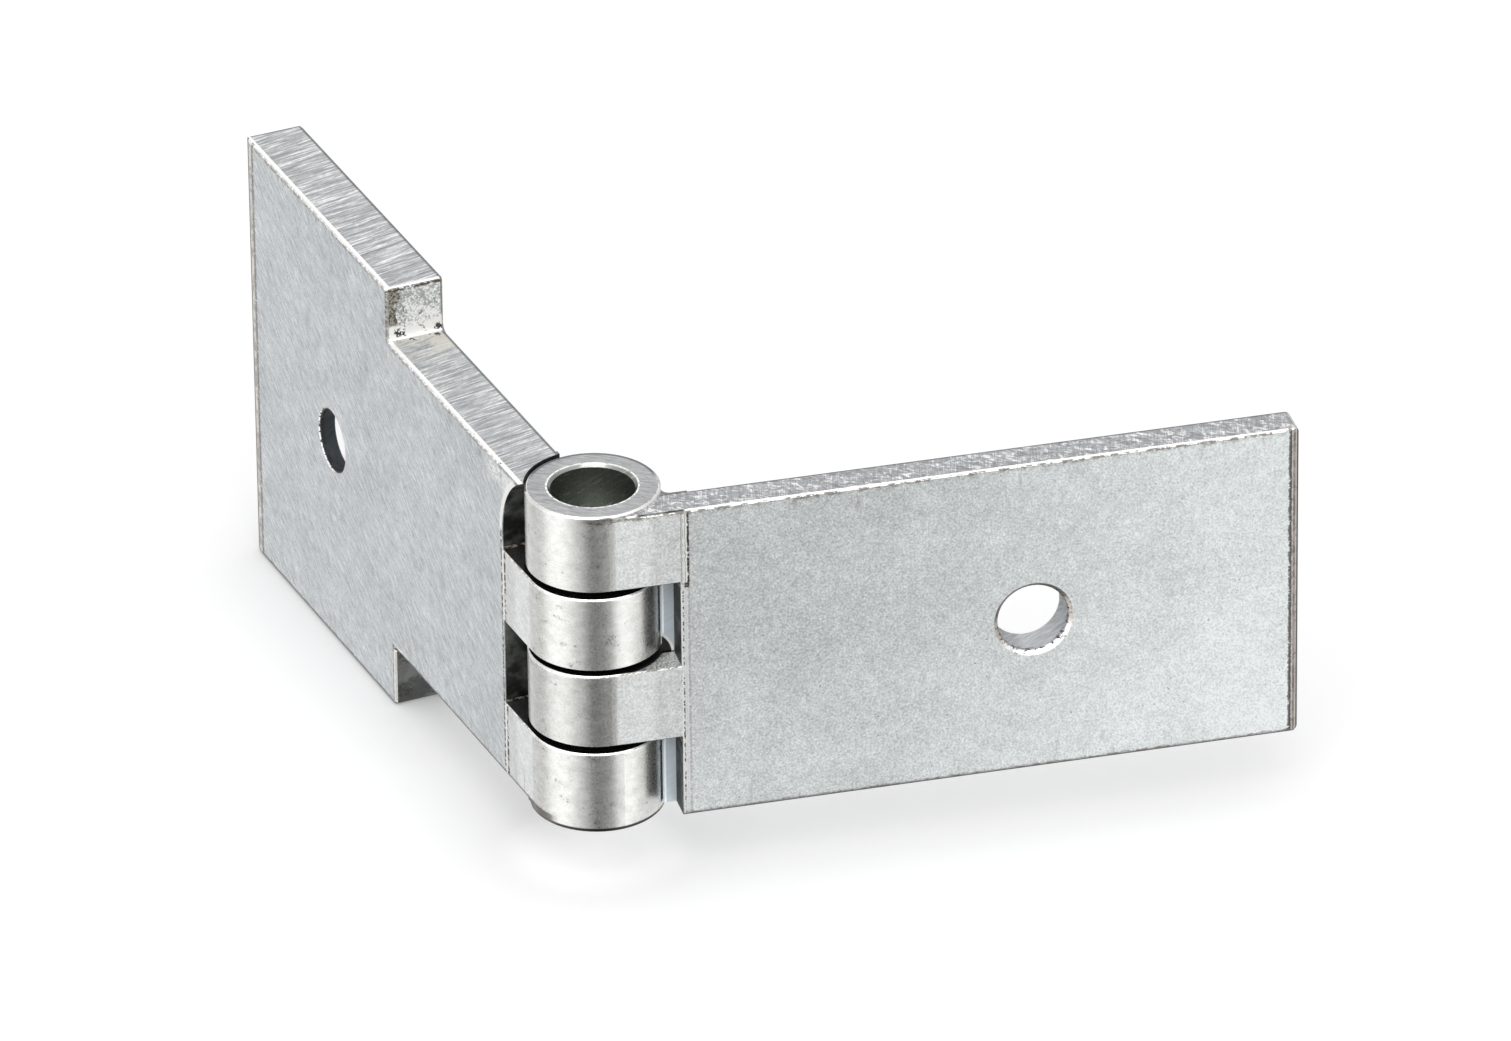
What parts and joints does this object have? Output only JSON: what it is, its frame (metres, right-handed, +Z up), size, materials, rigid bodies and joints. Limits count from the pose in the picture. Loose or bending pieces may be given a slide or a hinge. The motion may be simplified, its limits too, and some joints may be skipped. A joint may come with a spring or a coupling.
{
  "type": "hinge",
  "caption": "Heavy steel butt hinge: a plain leaf and a leaf with a stepped wide end turn on a pin hidden in interlocking knuckles; each leaf has a bolt hole.",
  "frame": {"origin": "on the pin's axis, at the lower end of the barrel", "axes": "+Z up along the pin's axis; +X along the plain leaf, away from the barrel; -Y out of the plain leaf's outer face"},
  "size_m": [0.1063, 0.092, 0.057],
  "materials": {
    "plated_plain_leaf": "bright zinc plating on plate, granular mottle",
    "plated_stepped_leaf": "bright zinc plating on plate with sawn edges",
    "pin_steel": "ground steel"
  },
  "bodies": {
    "plain_side": {"plain_leaf": "plated_plain_leaf", "hinge_pin": "pin_steel"},
    "stepped_side": {"stepped_leaf": "plated_stepped_leaf"}
  },
  "joints": [
    {"name": "leaf_swing", "type": "hinge", "parent": "plain_side", "child": "stepped_side", "pos_m": [0, 0, 0.0212], "axis": [0, 0, 1], "range_deg": [-100, 115]}
  ]
}
